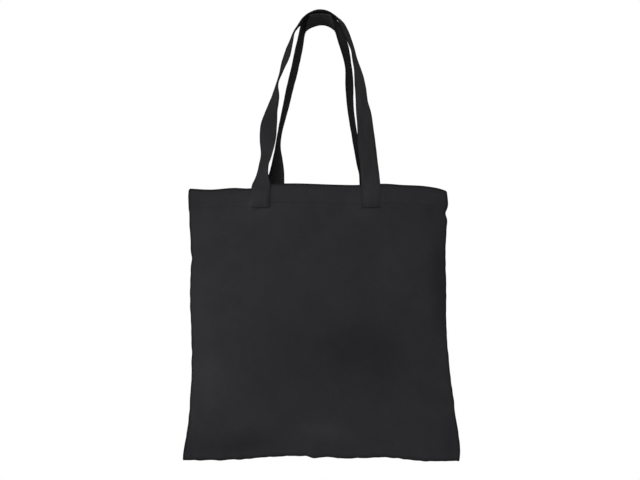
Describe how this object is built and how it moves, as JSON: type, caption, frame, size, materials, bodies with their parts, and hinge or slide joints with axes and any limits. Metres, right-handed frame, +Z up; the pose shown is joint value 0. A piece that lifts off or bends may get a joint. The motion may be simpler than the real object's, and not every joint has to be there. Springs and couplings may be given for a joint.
{
  "type": "tote bag",
  "caption": "Plain flat canvas tote bag in black with a folded hem and two long sewn-on strap handles, hanging by both handles from a peg",
  "frame": {"origin": "where the peg bears on the underside of the inner strap, at the middle of both handles", "axes": "X to the right as the bag is seen from the front, -Y to the front, +Z up, with the bag hanging below the origin"},
  "size_m": [0.381, 0.0794, 0.6136],
  "materials": {
    "canvas": "matte black plain-weave cotton canvas",
    "strap": "the same canvas folded to a strap in several layers and edge-stitched"
  },
  "bodies": {
    "bag": {"front_panel": "canvas", "back_panel": "canvas", "front_handle_left_end": "strap", "front_handle_right_end": "strap", "back_handle_left_end": "strap", "back_handle_right_end": "strap"},
    "front_handle": {"front_handle": "strap"},
    "back_handle": {"back_handle": "strap"}
  },
  "joints": [
    {"name": "front_handle_fold", "type": "hinge", "parent": "bag", "child": "front_handle", "pos_m": [0, -0.03129, -0.234], "axis": [1, 0, 0], "range_deg": [0, 175]},
    {"name": "back_handle_fold", "type": "hinge", "parent": "bag", "child": "back_handle", "pos_m": [0, 0.03189, -0.234], "axis": [-1, 0, 0], "range_deg": [0, 175]}
  ]
}
